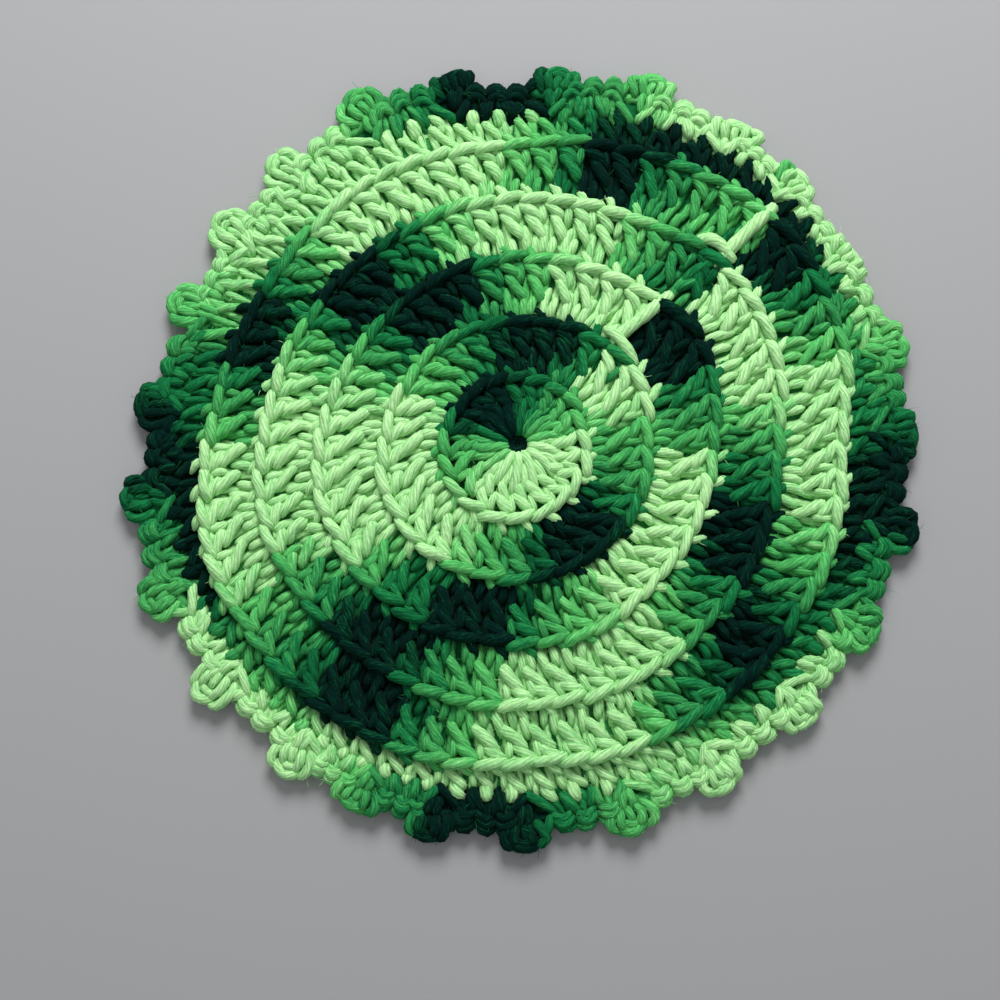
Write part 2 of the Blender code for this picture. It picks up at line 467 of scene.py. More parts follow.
FIRST_STITCHES = 20
RING_TURN = 1100
RING_POINTS = 70
RING_THICKNESS = 0.6
# The drawn-up ring takes the darkest dye: partly the dark strand in the hole, partly painted shade of the
# deep hole
RING_DYE_AND_HOLE_SHADE = 1.0
RING_REACH = (2.6, 1.1)
RING_DRAWN_IN = 1.6
RING_HEIGHT = (2.2, 0.8)
FIRST_LEGS = 27
LEG_THICKNESS = 0.9
LEG_ENDS = (0.62, 0.6, 3.0)
LEG_THICKNESS_SPREAD = 0.05
LEG_SPACING_SPREAD = 0.1
LEG_TURN_SPREAD = 1.0
LEG_REACH_SPREAD = 0.15
LEG_HEIGHT_SPREAD = 0.08
# Each leg leans back a little on its way out, and every second one starts lower and farther out
FIRST_LEG = (
    # turn_deg, reach, height, farther, lower
    (-2.0, 2.8, 1.5, 1.5, 0.5),
    (0.0, 3.0, 2.8, 1.6, 0.7),
    (1.0, 4.2, 3.65, 1.3, 0.6),
    (4.0, 7.4, 3.85, 0.3, 0.3),
    (8.0, 10.0, 3.3, 0.0, 0.1),
    (10.0, 11.6, 2.3, 0.0, 0.0),
)
FIRST_TOPS = (
    # strand, thickness, dye_lead, ends, points as (across, upward, height)
    ("front_loop", 0.98, 0.3, TUCKED,
     ((-0.10, 0.935, 3.6), (0.06, 0.95, 4.6), (0.32, 0.975, 5.1), (0.64, 1.0, 5.1), (0.92, 1.02, 4.6),
      (1.10, 1.03, 3.6))),
    ("wrap", 1.02, 0.0, TUCKED,
     ((-0.08, 0.91, 2.9), (0.08, 0.88, 3.8), (0.34, 0.81, 4.1), (0.56, 0.74, 3.8), (0.70, 0.68, 2.9))),
    ("low_wrap", 0.96, 0.0, TUCKED,
     ((0.18, 0.77, 2.7), (0.34, 0.72, 3.6), (0.62, 0.61, 3.8), (0.86, 0.50, 2.9))),
    ("back_strand", 0.8, 0.1, TUCKED,
     ((0.84, 0.93, 2.8), (0.86, 0.85, 3.7), (0.88, 0.76, 3.6), (0.89, 0.67, 2.7))),
)


CLIMB_SHARE = 0.75
SHARED_LOOP_WIDTH = 0.72
SHARED_LOOP_GAP = 0.5


def eased(share):
    """A share from 0 to 1 that starts and ends gently."""
    share = np.clip(share, 0, 1)
    return share * share * (3 - 2 * share)


def stitch_directions(across, upward, stitches, before):
    """Direction of each point of each stitch: its foot sits in its own loop of the round before."""
    number = np.arange(stitches)[:, None]
    head = SEAM - 360 / stitches * (number + across)
    parent = np.floor((number + 0.5) * before / stitches)
    shared = np.array([(parent == own).sum() for own in parent[:, 0]])[:, None]
    first = np.array([np.argmax(parent[:, 0] == own) for own in parent[:, 0]])[:, None]
    order = number - first
    squeeze = np.where(shared > 1, SHARED_LOOP_WIDTH, 1.0)
    offset = np.where(shared > 1, (order - 0.5) * SHARED_LOOP_GAP, 0.0)
    foot = SEAM - 360 / before * (parent + 0.5 + offset + (across - 0.5) * squeeze)
    return foot + (head - foot) * eased(upward / CLIMB_SHARE)


def work_stitches(row, stitches, before, inner, outer, chart, draws, hidden=False):
    """All strands of one kind round one round, between two ridges."""
    thickness, lead, ends, points = row[1:]
    points = np.array(points)
    across, upward, rise = hand_worked(stitches, len(points), draws)
    across = points[None, :, 0] + across
    upward = points[None, :, 1] + upward
    direction = stitch_directions(across, upward, stitches, before)
    low, high = reach_at(direction, inner), reach_at(direction, outer)
    paths = on_mat(direction, low + (high - low) * upward, points[None, :, 2] + rise)
    heads = SEAM - 360 / stitches * (np.arange(stitches) + 0.5 - lead)
    thick = thickness * draws.normal(1.0, THICKNESS_SPREAD, stitches)
    return spin(paths, thick, chart_at(chart, heads), ends, draws, hidden)


draws = np.random.default_rng(11)
bundles = []
ring_turns = np.linspace(0, RING_TURN, RING_POINTS)
ring_share = ring_turns / RING_TURN
ring_reach = RING_REACH[0] + (RING_REACH[1] - RING_REACH[0]) * np.minimum(ring_share * RING_DRAWN_IN, 1)
ring_height = RING_HEIGHT[0] + (RING_HEIGHT[1] - RING_HEIGHT[0]) * ring_share
ring_path = on_mat(ring_turns, ring_reach, ring_height)[None]
bundles.append(spin(ring_path, RING_THICKNESS, RING_DYE_AND_HOLE_SHADE, BLUNT, draws))

turn, reach, height, farther, lower = np.array(FIRST_LEG).T
uneven = draws.normal(0, LEG_SPACING_SPREAD, FIRST_LEGS)
spacing = SEAM - 360 / FIRST_LEGS * (np.arange(FIRST_LEGS) + uneven)
shape = (FIRST_LEGS, len(FIRST_LEG))
turned = spacing[:, None] - turn + draws.normal(0, LEG_TURN_SPREAD, shape)
sunken = np.arange(FIRST_LEGS)[:, None] % 2
reach = reach + farther * sunken + draws.normal(0, LEG_REACH_SPREAD, shape)
height = height - lower * sunken + draws.normal(0, LEG_HEIGHT_SPREAD, shape)
thick = draws.normal(LEG_THICKNESS, LEG_THICKNESS_SPREAD, FIRST_LEGS)
shades = chart_at(FIRST_DYE, spacing)
bundles.append(spin(on_mat(turned, reach, height), thick, shades, LEG_ENDS, draws))

for row in FIRST_TOPS:
    bundles.append(work_stitches(row, FIRST_STITCHES, FIRST_STITCHES, 0, 1, FIRST_DYE, draws))
rounds = [make_yarn_piece("round_1", bundles, cotton)]


# ---- Rounds two to five ---------------------------------------------------------------------
# Half double stitches worked in the back loops only of the round before, which leaves each
# row of front loops standing up as a rope-like ridge. Two stitches share a loop now and then.

STITCH = (
    # strand, thickness, dye_lead, ends, points as (across, upward, height)
    ("front_loop", 1.0, 0.3, TUCKED,
     ((-0.14, 0.935, 3.7), (0.02, 0.95, 4.7), (0.28, 0.975, 5.2), (0.60, 1.0, 5.2), (0.87, 1.02, 4.7),
      (1.07, 1.03, 3.6))),
    ("upper_wrap", 1.04, 0.0, TUCKED,
     ((-0.12, 0.91, 3.0), (0.02, 0.885, 3.9), (0.28, 0.81, 4.2), (0.52, 0.74, 3.9), (0.68, 0.68, 2.9))),
    ("lower_wrap", 1.04, 0.0, TUCKED,
     ((0.16, 0.76, 2.7), (0.30, 0.70, 3.7), (0.56, 0.56, 4.0), (0.83, 0.42, 3.8), (0.97, 0.33, 2.8))),
    ("back_strand", 0.84, 0.1, TUCKED,
     ((0.74, 0.92, 2.8), (0.76, 0.83, 3.7), (0.78, 0.71, 3.7), (0.79, 0.60, 2.7))),
    ("near_leg", 0.86, -0.3, TUCKED,
     ((0.15, 0.05, 2.4), (0.13, 0.16, 3.4), (0.10, 0.36, 3.5), (0.09, 0.54, 2.6))),
    ("far_leg", 0.86, -0.3, TUCKED,
     ((0.50, 0.05, 2.4), (0.50, 0.13, 3.4), (0.51, 0.26, 3.5), (0.53, 0.40, 2.5))),
)
HIDDEN_RIBS = (
    # strand, thickness, dye_lead, ends, points as (across, upward, height)
    ("near_rib", 1.0, -0.2, BLUNT, ((0.34, 0.02, 1.7), (0.36, 0.5, 2.0), (0.34, 0.98, 2.1))),
    ("far_rib", 1.0, -0.2, BLUNT, ((0.86, 0.02, 1.9), (0.88, 0.5, 2.1), (0.84, 0.98, 2.1))),
    ("back_loop", 0.9, 0.2, BLUNT, ((0.0, 0.89, 2.8), (0.45, 0.91, 3.3), (1.0, 0.94, 2.9))),
)
# The stub of each loop of the round before that shows outside its ridge
SPIKE = (
    # strand, thickness, dye_lead, ends, points as (across, upward, height)
    "spike", 0.86, 0.2, (0.8, 0.4, 2.6),
    ((0.38, -0.07, 3.2), (0.27, 0.06, 3.9), (0.12, 0.155, 3.6), (-0.05, 0.235, 2.8)),
)

ROUNDS = (
    # name, stitches, stitches_before, ridge_before, ridge, seed
    ("round_2", 30, 20, 1, 2, 12),
    ("round_3", 44, 30, 2, 3, 13),
    ("round_4", 59, 44, 3, 4, 14),
    ("round_5", 70, 59, 4, 5, 15),
)
DYES = {
    # direction_deg, how_dark
    "round_1": FIRST_DYE,
    "round_2": (
        (40, 0), (19, 0), (11, 0.3), (0, 0.42), (340, 0.5), (328, 0.64), (317, 1), (286, 1),
        (276, 0.66), (262, 0.42), (246, 0.3), (237, 0.03), (158, 0), (154, 0.3), (134, 0.36),
        (128, 0.52), (106, 0.68), (98, 1), (64, 0.95), (58, 0.68), (41, 0.58),
    ),
    "round_3": (
        (44.5, 1), (22, 1), (20, 0.66), (0, 0.42), (356, 0.33), (353, 0), (302, 0), (298, 0.22),
        (284, 0.35), (270, 0.68), (267, 1), (243, 1), (240, 0.68), (227, 0.64), (216, 0.1), (208, 0),
        (172, 0), (152, 0.33), (148, 0.52), (138, 0.72), (132, 1), (107, 1), (104, 0.68), (88, 0.38),
        (79, 0.28), (73, 0), (45.5, 0),
    ),
    "round_4": (
        (40.5, 0), (12, 0), (2, 0.42), (354, 0.62), (346, 0.75), (344, 1), (329, 1), (326, 0.68),
        (312, 0.48), (306, 0.06), (268, 0.04), (264, 0.33), (254, 0.48), (246, 0.72), (243, 1),
        (227, 1), (223, 0.66), (210, 0.42), (205, 0.05), (170, 0), (154, 0.36), (146, 0.68), (144, 1),
        (126, 1), (122, 0.68), (114, 0.62), (110, 0.3), (95, 0.03), (68, 0.03), (58, 0.4), (45, 0.66),
        (41.5, 0.8),
    ),
    "round_5": (
        (41.5, 1), (33, 1), (30, 0.72), (20, 0.42), (17, 0.3), (13, 0.05), (347, 0.03), (341, 0.3),
        (333, 0.5), (326, 0.8), (324, 1), (313, 1), (309, 0.68), (298, 0.5), (292, 0.06), (264, 0.08),
        (260, 0.33), (250, 0.6), (244, 1), (233, 1), (227, 0.68), (212, 0.33), (206, 0.03), (182, 0),
        (178, 0.33), (167, 0.62), (165, 1), (152, 1), (148, 0.68), (139, 0.5), (134, 0.2), (130, 0.03),
        (96, 0.03), (92, 0.22), (86, 0.36), (81, 0.5), (78.5, 0.68), (76, 1), (66, 1), (64, 0.66),
        (57, 0.54), (52, 0.4), (46, 0.33), (42.5, 0.34),
    ),
}

for name, stitches, before, inner, outer, seed in ROUNDS:
    draws = np.random.default_rng(seed)
    previous = DYES["round_%d" % (outer - 1)]
    bundles = [work_stitches(row, stitches, before, inner, outer, DYES[name], draws) for row in STITCH]
    bundles.append(work_stitches(SPIKE, before, before, inner, outer, previous, draws))
    for row in HIDDEN_RIBS:
        bundles.append(work_stitches(row, stitches, before, inner, outer, DYES[name], draws, True))
    rounds.append(make_yarn_piece(name, bundles, cotton))


# ---- Starting chains ------------------------------------------------------------------------
# Each round is joined with a slip stitch and climbs from there by two chains, which lie over
# the join as long loose strands.

STARTING_CHAINS = (
    # strand, thickness, how_dark, points as (x, y, height)
    ("third_round_chain", 1.2, 0.0,
     ((20.6, 22.4, 3.6), (24.2, 25.5, 5.0), (28.6, 29.0, 5.0), (32.0, 32.0, 4.9), (34.6, 34.3, 3.6))),
    ("third_round_join", 1.02, 0.0,
     ((19.6, 26.3, 3.8), (21.6, 24.5, 5.4), (24.2, 21.4, 5.5), (26.4, 17.8, 4.2))),
    ("fourth_round_join", 1.15, 0.0,
     ((40.2, 46.8, 3.8), (43.2, 47.0, 5.4), (46.0, 45.6, 5.6), (49.0, 42.0, 4.4))),
    ("fourth_round_chain", 0.95, 0.66,
     ((37.0, 37.0, 3.0), (40.0, 39.6, 4.2), (43.4, 41.4, 4.4), (47.4, 43.2, 3.4))),
    ("fourth_round_second_chain", 0.9, 0.6,
     ((34.2, 34.6, 3.0), (36.8, 36.0, 4.1), (39.6, 36.9, 4.1), (42.0, 37.6, 3.1))),
    ("fifth_round_chain", 1.3, 0.0,
     ((44.4, 41.2, 3.8), (48.4, 44.9, 4.9), (52.8, 49.2, 5.2), (56.2, 52.6, 5.1), (58.8, 55.2, 3.9))),
)
CHAIN_ENDS = (0.6, 0.75, 5.0)

draws = np.random.default_rng(19)
bundles = []
for _, thickness, shade, points in STARTING_CHAINS:
    bundles.append(spin(np.array(points)[None] * MM, thickness, shade, CHAIN_ENDS, draws))
rounds.append(make_yarn_piece("starting_chains", bundles, cotton))


# ---- Round six ------------------------------------------------------------------------------
# A low round of single crochet in the back loops, half sunk behind the fifth ridge, with only
# its legs and the bumps of its tops to be seen.

LOW_STITCHES = 72
LOW_STUBS = 70
LOW_STUB_STRETCH = 1.7
LOW_UNEVENNESS = 2
LOW_DYE = (
    # direction_deg, how_dark
    (17, 0.4), (12, 0.62), (1, 0.7), (356, 0.95), (342, 1), (334, 0.75), (328, 0.64), (313, 0.6),
    (304, 0.34), (296, 0.1), (285, 0.03), (238, 0.03), (231, 0.28), (220, 0.42), (210, 0.64), (207, 1),
    (182, 1), (176, 0.68), (164, 0.66), (159, 0.33), (146, 0.08), (98, 0.03), (90, 0.2), (84, 0.4),
    (79, 0.66), (75, 0.9), (62, 1), (36, 1), (32, 0.75), (26, 0.6),
)
LOW_STITCH = (
    # strand, thickness, dye_lead, ends, points as (across, upward, height)
    ("thick_leg", 0.9, 0.0, TUCKED,
     ((0.02, 0.94, 2.1), (0.14, 0.80, 3.0), (0.36, 0.58, 3.1), (0.56, 0.34, 2.8), (0.66, 0.16, 2.0))),
    ("thin_leg", 0.66, 0.0, TUCKED,
     ((0.74, 0.96, 2.2), (0.78, 0.72, 3.0), (0.82, 0.44, 3.0), (0.86, 0.14, 2.1))),
)
LOW_RIBS = (
    # strand, thickness, dye_lead, ends, points as (across, upward, height)
    ("near_rib", 0.95, 0.0, BLUNT, ((0.20, -0.05, 1.7), (0.20, 0.5, 2.0), (0.18, 1.15, 1.8))),
    ("far_rib", 0.95, 0.0, BLUNT, ((0.68, -0.05, 1.7), (0.68, 0.5, 2.0), (0.68, 1.15, 1.8))),
)


def work_low_stitches(row, stitches, draws, chart, hidden=False):
    """All strands of one kind between the fifth ridge and the low round's tops."""
    thickness, _, ends, points = row[1:]
    points = np.array(points)
    across, upward, rise = hand_worked(stitches, len(points), draws)
    direction = SEAM - 360 / stitches * (np.arange(stitches)[:, None] + points[None, :, 0] + across)
    upward = points[None, :, 1] + upward * LOW_UNEVENNESS
    low, high = reach_at(direction, LOW - 1), reach_at(direction, LOW)
    paths = on_mat(direction, low + (high - low) * upward, points[None, :, 2] + rise)
    thick = thickness * draws.normal(1.0, THICKNESS_SPREAD, stitches)
    return spin(paths, thick, chart_at(chart, direction.mean(axis=1)), ends, draws, hidden)


draws = np.random.default_rng(16)
bundles = [work_low_stitches(row, LOW_STITCHES, draws, LOW_DYE) for row in LOW_STITCH]
stub = tuple((across, upward * LOW_STUB_STRETCH, height) for across, upward, height in SPIKE[-1])
bundles.append(work_low_stitches(SPIKE[:-1] + (stub,), LOW_STUBS, draws, DYES["round_5"]))
bundles += [work_low_stitches(row, LOW_STITCHES, draws, LOW_DYE, True) for row in LOW_RIBS]
rounds.append(make_yarn_piece("round_6", bundles, cotton))


# ---- Edging ---------------------------------------------------------------------------------
# The last round: three single crochets to each picot. Their legs spread over the round below
# and their tops wrap over the rim in stacked arcs.

PICOTS = (
    # direction_deg, reach_mm
    (1, 90.0),
    (14.5, 91.6),
    (29.5, 89.2),
    (43.5, 92.0),
    (55.5, 92.7),
    (69.5, 94.1),
    (83.5, 90.9),
    (99.5, 90.4),
    (114, 93.1),
    (129.5, 89.4),
    (142.5, 88.2),
    (156.5, 87.0),
    (173.5, 87.4),
    (188, 90.1),
    (203.5, 91.4),
    (218.5, 91.3),
    (234.5, 90.3),
    (245.5, 88.7),
    (256.5, 90.3),
    (270.5, 90.1),
    (286, 89.8),
    (300.5, 89.5),
    (315.5, 89.6),
    (331, 90.6),
    (346.5, 91.7),
)
EDGE_DYE = (
    # direction_deg, how_dark
    (4, 0.68), (1, 0.85), (358, 1), (346.5, 1), (345, 0.66), (336, 0.58), (331, 0.4), (323, 0.05),
    (297, 0.05), (288, 0.34), (283.5, 0.45), (281, 0.6), (275, 0.68), (273.4, 0.74), (272, 0.97),
    (256, 1), (255.2, 0.62), (247.5, 0.56), (245, 0.38), (242, 0.2), (239, 0.1), (236, 0.03),
    (209, 0.03), (205, 0.38), (197, 0.56), (190.5, 0.66), (188.6, 0.74), (186.5, 0.92), (184.5, 1),
    (175, 1), (173, 0.84), (170.5, 0.68), (162, 0.5), (156, 0.3), (146, 0.08), (121, 0.08), (116, 0.34),
    (108, 0.58), (103, 0.72), (101, 1), (88, 1), (84, 0.66), (76, 0.5), (73, 0.42), (69, 0.28),
    (65.5, 0.1), (63, 0.03), (47.6, 0.03), (47, 0.36), (45.4, 0.36), (44.8, 0.03), (27, 0.03),
    (18, 0.22), (12, 0.42),
)
EDGE_LEGS = (
    # strand, thickness, ends, points as (across, upward, height)
    ("left_leg", 0.84, TUCKED,
     ((0.03, 0.02, 2.2), (0.05, 0.12, 3.2), (0.12, 0.30, 3.5), (0.22, 0.50, 2.8))),
    ("right_leg", 0.84, TUCKED,
     ((0.97, 0.02, 2.2), (0.95, 0.12, 3.2), (0.88, 0.30, 3.5), (0.78, 0.50, 2.8))),
    ("first_arc", 0.78, TUCKED,
     ((0.06, 0.44, 2.2), (0.20, 0.55, 3.4), (0.50, 0.62, 3.8), (0.80, 0.55, 3.4), (0.94, 0.44, 2.2))),
    ("second_arc", 0.82, TUCKED,
     ((0.04, 0.57, 2.0), (0.19, 0.69, 3.4), (0.50, 0.77, 3.8), (0.81, 0.69, 3.4), (0.96, 0.57, 2.0))),
    ("third_arc", 0.84, TUCKED,
     ((0.04, 0.70, 1.6), (0.19, 0.815, 2.6), (0.50, 0.90, 2.9), (0.81, 0.815, 2.6), (0.96, 0.70, 1.6))),
)
EDGE_CORES = (
    # strand, thickness, ends, points as (across, upward, height)
    ("middle_core", 1.2, BLUNT, ((0.50, -0.10, 1.7), (0.50, 0.40, 2.1), (0.50, 0.82, 1.6))),
    ("left_core", 1.0, BLUNT, ((0.06, -0.10, 1.5), (0.10, 0.40, 1.8), (0.14, 0.76, 1.5))),
    ("right_core", 1.0, BLUNT, ((0.94, -0.10, 1.5), (0.90, 0.40, 1.8), (0.86, 0.76, 1.5))),
    ("under_arc", 0.9, BLUNT, ((0.04, 0.72, 1.2), (0.50, 0.90, 1.3), (0.96, 0.72, 1.2))),
)
# How far the low round's tops are drawn up between the legs that were worked into them
DRAWN_UP = (
    # direction_deg, span_mm
    (0, 9.0), (60, 9.0), (87, 5.6), (97, 7.0), (108, 8.6), (125, 7.0), (200, 5.6), (225, 4.4),
    (252, 3.2), (260, 6.0), (285, 8.0), (310, 9.0),
)
DRAWN_UP_LOOP = (
    # strand, thickness, ends, points as (across, upward, height)
    "drawn_up_loop", 1.2, (0.95, 0.5, 2.2),
    ((0.50, -0.20, 2.0), (0.50, 0.0, 2.6), (0.50, 0.16, 2.7), (0.50, 0.31, 2.2)),
)
# Clockwise from one picot to the next: where each stitch's top stands and where its legs enter
REPEAT = (
    # head, foot_from, foot_to
    (0.17, -0.05, 0.26),
    (0.385, 0.26, 0.58),
    (0.60, 0.58, 0.95),
)
CAP_SHARE = 0.215
HEAD_WANDER = 0.012
EDGE_TILT = 0.05
EDGE_CLIMB_SHARE = 0.5


def work_edge_stitches(row, chart, stitches, draws, hidden=False, span=None):
    """All strands of one kind over the rim; each stitch has a head, a foot, both widths and a tilt."""
    thickness, ends, points = row[1:]
    heads, feet, head_widths, foot_widths, tilts = stitches.T[:, :, None]
    points = np.array(points)
    across, upward, rise = hand_worked(len(stitches), len(points), draws)
    across = points[None, :, 0] + across - 0.5
    upward = points[None, :, 1] + upward + tilts * across
    climb = eased(upward / EDGE_CLIMB_SHARE)
    widths = foot_widths + (head_widths - foot_widths) * climb
    direction = feet + (heads - feet) * climb - widths * across
    low = reach_at(direction, LOW)
    if span is None:
        span = reach_at(direction, EDGE) - low
    paths = on_mat(direction, low + span * upward, points[None, :, 2] + rise)
    thick = thickness * draws.normal(1.0, THICKNESS_SPREAD, len(stitches))
    return spin(paths, thick, chart_at(chart, heads[:, 0]), ends, draws, hidden)


draws = np.random.default_rng(17)
edge_stitches = []
for (direction, _), (following, _) in zip(PICOTS, PICOTS[-1:] + PICOTS[:-1]):
    gap = (direction - following) % 360
    for head, foot_from, foot_to in REPEAT:
        head = direction - gap * (head + draws.normal(0, HEAD_WANDER))
        foot = direction - gap * (foot_from + foot_to) / 2
        tilt = draws.normal(0, EDGE_TILT)
        edge_stitches.append((head, foot, gap * CAP_SHARE, gap * (foot_to - foot_from), tilt))
edge_stitches = np.array(edge_stitches)

bundles = [work_edge_stitches(row, EDGE_DYE, edge_stitches, draws) for row in EDGE_LEGS]
drawn_up = chart_at(DRAWN_UP, edge_stitches[:, 1:2])
bundles.append(work_edge_stitches(DRAWN_UP_LOOP, LOW_DYE, edge_stitches, draws, span=drawn_up))
bundles += [work_edge_stitches(row, EDGE_DYE, edge_stitches, draws, True) for row in EDGE_CORES]
rounds.append(make_yarn_piece("edging", bundles, cotton))


# ---- Picots ---------------------------------------------------------------------------------
# Small knobbly bumps on the rim, in the same yarn. Each is three chains closed back into the
# stitch they rose from, so its loops stand in two lobes with a knot between them.

PICOT = (
    # strand, thickness, ends, points as (sideways_mm, outward_mm, height)
    ("left_lobe", 1.02, TUCKED,
     ((-3.6, -3.6, 2.4), (-4.6, -1.9, 3.3), (-5.2, 0.0, 3.4), (-4.6, 1.6, 3.0), (-3.1, 2.5, 2.3))),
    ("left_inner", 0.92, TUCKED,
     ((-1.9, -3.2, 2.9), (-2.5, -1.4, 3.8), (-2.7, 0.4, 3.8), (-2.1, 1.8, 2.9))),
    ("knot", 0.86, TUCKED, ((-0.4, -3.0, 2.8), (-0.5, -1.6, 3.5), (-0.5, -0.2, 3.4), (-0.4, 0.8, 2.6))),
    ("right_inner", 0.86, TUCKED, ((1.1, -3.1, 2.9), (1.5, -1.4, 3.8), (1.7, 0.3, 3.8), (1.2, 1.7, 2.9))),
    ("right_lobe", 0.98, TUCKED,
     ((2.4, -3.4, 2.4), (3.4, -1.8, 3.3), (4.0, 0.0, 3.4), (3.6, 1.6, 3.0), (2.2, 2.5, 2.3))),
    ("crown", 0.96, TUCKED,
     ((-3.6, 1.4, 2.2), (-2.1, 2.5, 2.9), (-0.2, 2.9, 3.1), (1.6, 2.3, 2.9), (2.9, 1.1, 2.2))),
    ("inner_crown", 0.8, TUCKED, ((-2.4, 0.7, 2.6), (-1.2, 1.4, 3.3), (0.3, 1.4, 3.3), (1.5, 0.6, 2.6))),
    ("shoulder", 0.94, TUCKED,
     ((-8.0, -4.6, 2.3), (-7.0, -3.0, 3.1), (-6.1, -1.4, 3.1), (-5.4, -0.1, 2.3))),
    ("stem", 0.84, TUCKED, ((0.7, -2.0, 2.9), (0.2, -3.6, 3.7), (-0.4, -5.4, 3.6), (-0.8, -7.4, 2.5))),
    ("second_stem", 0.8, TUCKED,
     ((-1.5, -2.4, 2.8), (-1.9, -3.9, 3.5), (-2.0, -5.6, 3.4), (-1.8, -7.4, 2.4))),
)
PICOT_CORES = (
    # strand, thickness, ends, points as (sideways_mm, outward_mm, height)
    ("lower_crown", 1.0, BLUNT,
     ((-4.4, 0.6, 1.3), (-2.4, 2.3, 1.4), (-0.2, 2.8, 1.4), (1.8, 2.2, 1.4), (3.6, 0.5, 1.3))),
    ("back", 1.0, BLUNT, ((-4.6, 0.3, 1.4), (-0.6, 0.8, 1.5), (3.4, 0.3, 1.4))),
    ("lower_back", 1.1, BLUNT, ((-6.4, -1.8, 1.4), (-1.0, -1.4, 1.6), (4.2, -1.6, 1.4))),
    ("base", 1.2, BLUNT, ((-7.4, -3.6, 1.5), (-1.0, -3.6, 1.9), (5.0, -3.8, 1.5))),
)
PICOT_RISE, CROWN_THICKNESS = 2.9, 1.2
PICOT_BEND_RADIUS = 89.0
PICOT_TURN = 8.0
PICOT_GROWTH = 0.09
SIDEWAYS_SPREAD, OUTWARD_SPREAD, UPWARD_SPREAD = 0.22, 0.18, 0.1

draws = np.random.default_rng(18)
bundles = []
picot_directions, picot_reach = np.array(PICOTS, float).T[:, :, None]
picot_base = reach_at(picot_directions, EDGE)
proud = np.maximum((picot_reach - picot_base - CROWN_THICKNESS) / PICOT_RISE, 0)
turned = np.radians(draws.normal(0, PICOT_TURN, proud.shape))
left_grown = draws.normal(1, PICOT_GROWTH, proud.shape)
right_grown = draws.normal(1, PICOT_GROWTH, proud.shape)
for hidden, rows in ((False, PICOT), (True, PICOT_CORES)):
    for _, thickness, ends, points in rows:
        points = np.array(points)[None]
        shape = (len(PICOTS), points.shape[1])
        across, outward, height = np.moveaxis(points, -1, 0)
        straight = across * np.where(across < 0, left_grown, right_grown)
        straight = straight + draws.normal(0, SIDEWAYS_SPREAD, shape)
        raised = outward * np.where(outward > 0, proud, 1) + draws.normal(0, OUTWARD_SPREAD, shape)
        sideways = straight * np.cos(turned) - raised * np.sin(turned)
        outward = straight * np.sin(turned) + raised * np.cos(turned)
        direction = picot_directions - np.degrees(sideways / PICOT_BEND_RADIUS)
        shades = chart_at(EDGE_DYE, direction.mean(axis=1))
        paths = on_mat(direction, picot_base + outward, height + draws.normal(0, UPWARD_SPREAD, shape))
        thick = thickness * draws.normal(1, THICKNESS_SPREAD, len(PICOTS))
        bundles.append(spin(paths, thick, shades, ends, draws, hidden))
rounds.append(make_yarn_piece("picots", bundles, cotton))


# ---- Wrong side -----------------------------------------------------------------------------
# The back of the fabric, which lies on the table. The same yarn shows there as one bar and two
# slanting legs to each stitch, in every round.

BACK_BAR = (
    # strand, thickness, dye_lead, ends, points as (across, upward, height)
    "back_bar", 0.74, 0.0, BLUNT,
    ((-0.10, 0.84, 1.4), (0.20, 0.80, 1.15), (0.80, 0.84, 1.15), (1.08, 0.86, 1.4)),
)
BACK_STITCH = (
    BACK_BAR,
    ("near_back_leg", 0.74, 0.0, BLUNT,
     ((0.10, 0.04, 1.5), (0.24, 0.25, 1.15), (0.42, 0.60, 1.15), (0.48, 0.80, 1.5))),
    ("far_back_leg", 0.74, 0.0, BLUNT,
     ((0.74, 0.04, 1.5), (0.80, 0.25, 1.15), (0.92, 0.60, 1.15), (1.00, 0.80, 1.5))),
)
# In the first round the legs stay short of the hole
FIRST_BACK = (
    BACK_BAR,
    ("near_back_leg", 0.60, 0.0, BLUNT,
     ((0.14, 0.26, 1.5), (0.24, 0.42, 1.1), (0.38, 0.64, 1.1), (0.44, 0.80, 1.5))),
    ("far_back_leg", 0.60, 0.0, BLUNT,
     ((0.66, 0.26, 1.5), (0.76, 0.42, 1.1), (0.90, 0.64, 1.1), (0.96, 0.80, 1.5))),
)
EDGE_BACK = (
    # strand, thickness, ends, points as (across, upward, height)
    ("near_back_leg", 0.72, BLUNT,
     ((0.10, -0.10, 1.4), (0.22, 0.25, 1.1), (0.34, 0.60, 1.1), (0.42, 0.84, 1.3))),
    ("far_back_leg", 0.72, BLUNT,
     ((0.60, -0.10, 1.4), (0.72, 0.25, 1.1), (0.84, 0.60, 1.1), (0.92, 0.84, 1.3))),
)
draws = np.random.default_rng(20)
bundles = []
for row in FIRST_BACK:
    bundles.append(work_stitches(row, FIRST_STITCHES, FIRST_STITCHES, 0, 1, FIRST_DYE, draws, True))
for name, stitches, before, inner, outer, _ in ROUNDS:
    for row in BACK_STITCH:
        bundles.append(work_stitches(row, stitches, before, inner, outer, DYES[name], draws, True))
for row in BACK_STITCH:
    bundles.append(work_low_stitches(row, LOW_STITCHES, draws, LOW_DYE, True))
for row in EDGE_BACK:
    bundles.append(work_edge_stitches(row, EDGE_DYE, edge_stitches, draws, True))
rounds.append(make_yarn_piece("wrong_side", bundles, cotton))


# ---- Loose fibres ---------------------------------------------------------------------------
# Fine ends of cotton fibre that have worked loose and stand off the yarn, so that the strands
# look soft against each other.

FIBRES = 7000
FIBRE_RADIUS = 0.065
FIBRE_LENGTH = (1.2, 3.4)
FIBRE_ROOT = 0.15
FIBRE_LEAN = 0.7
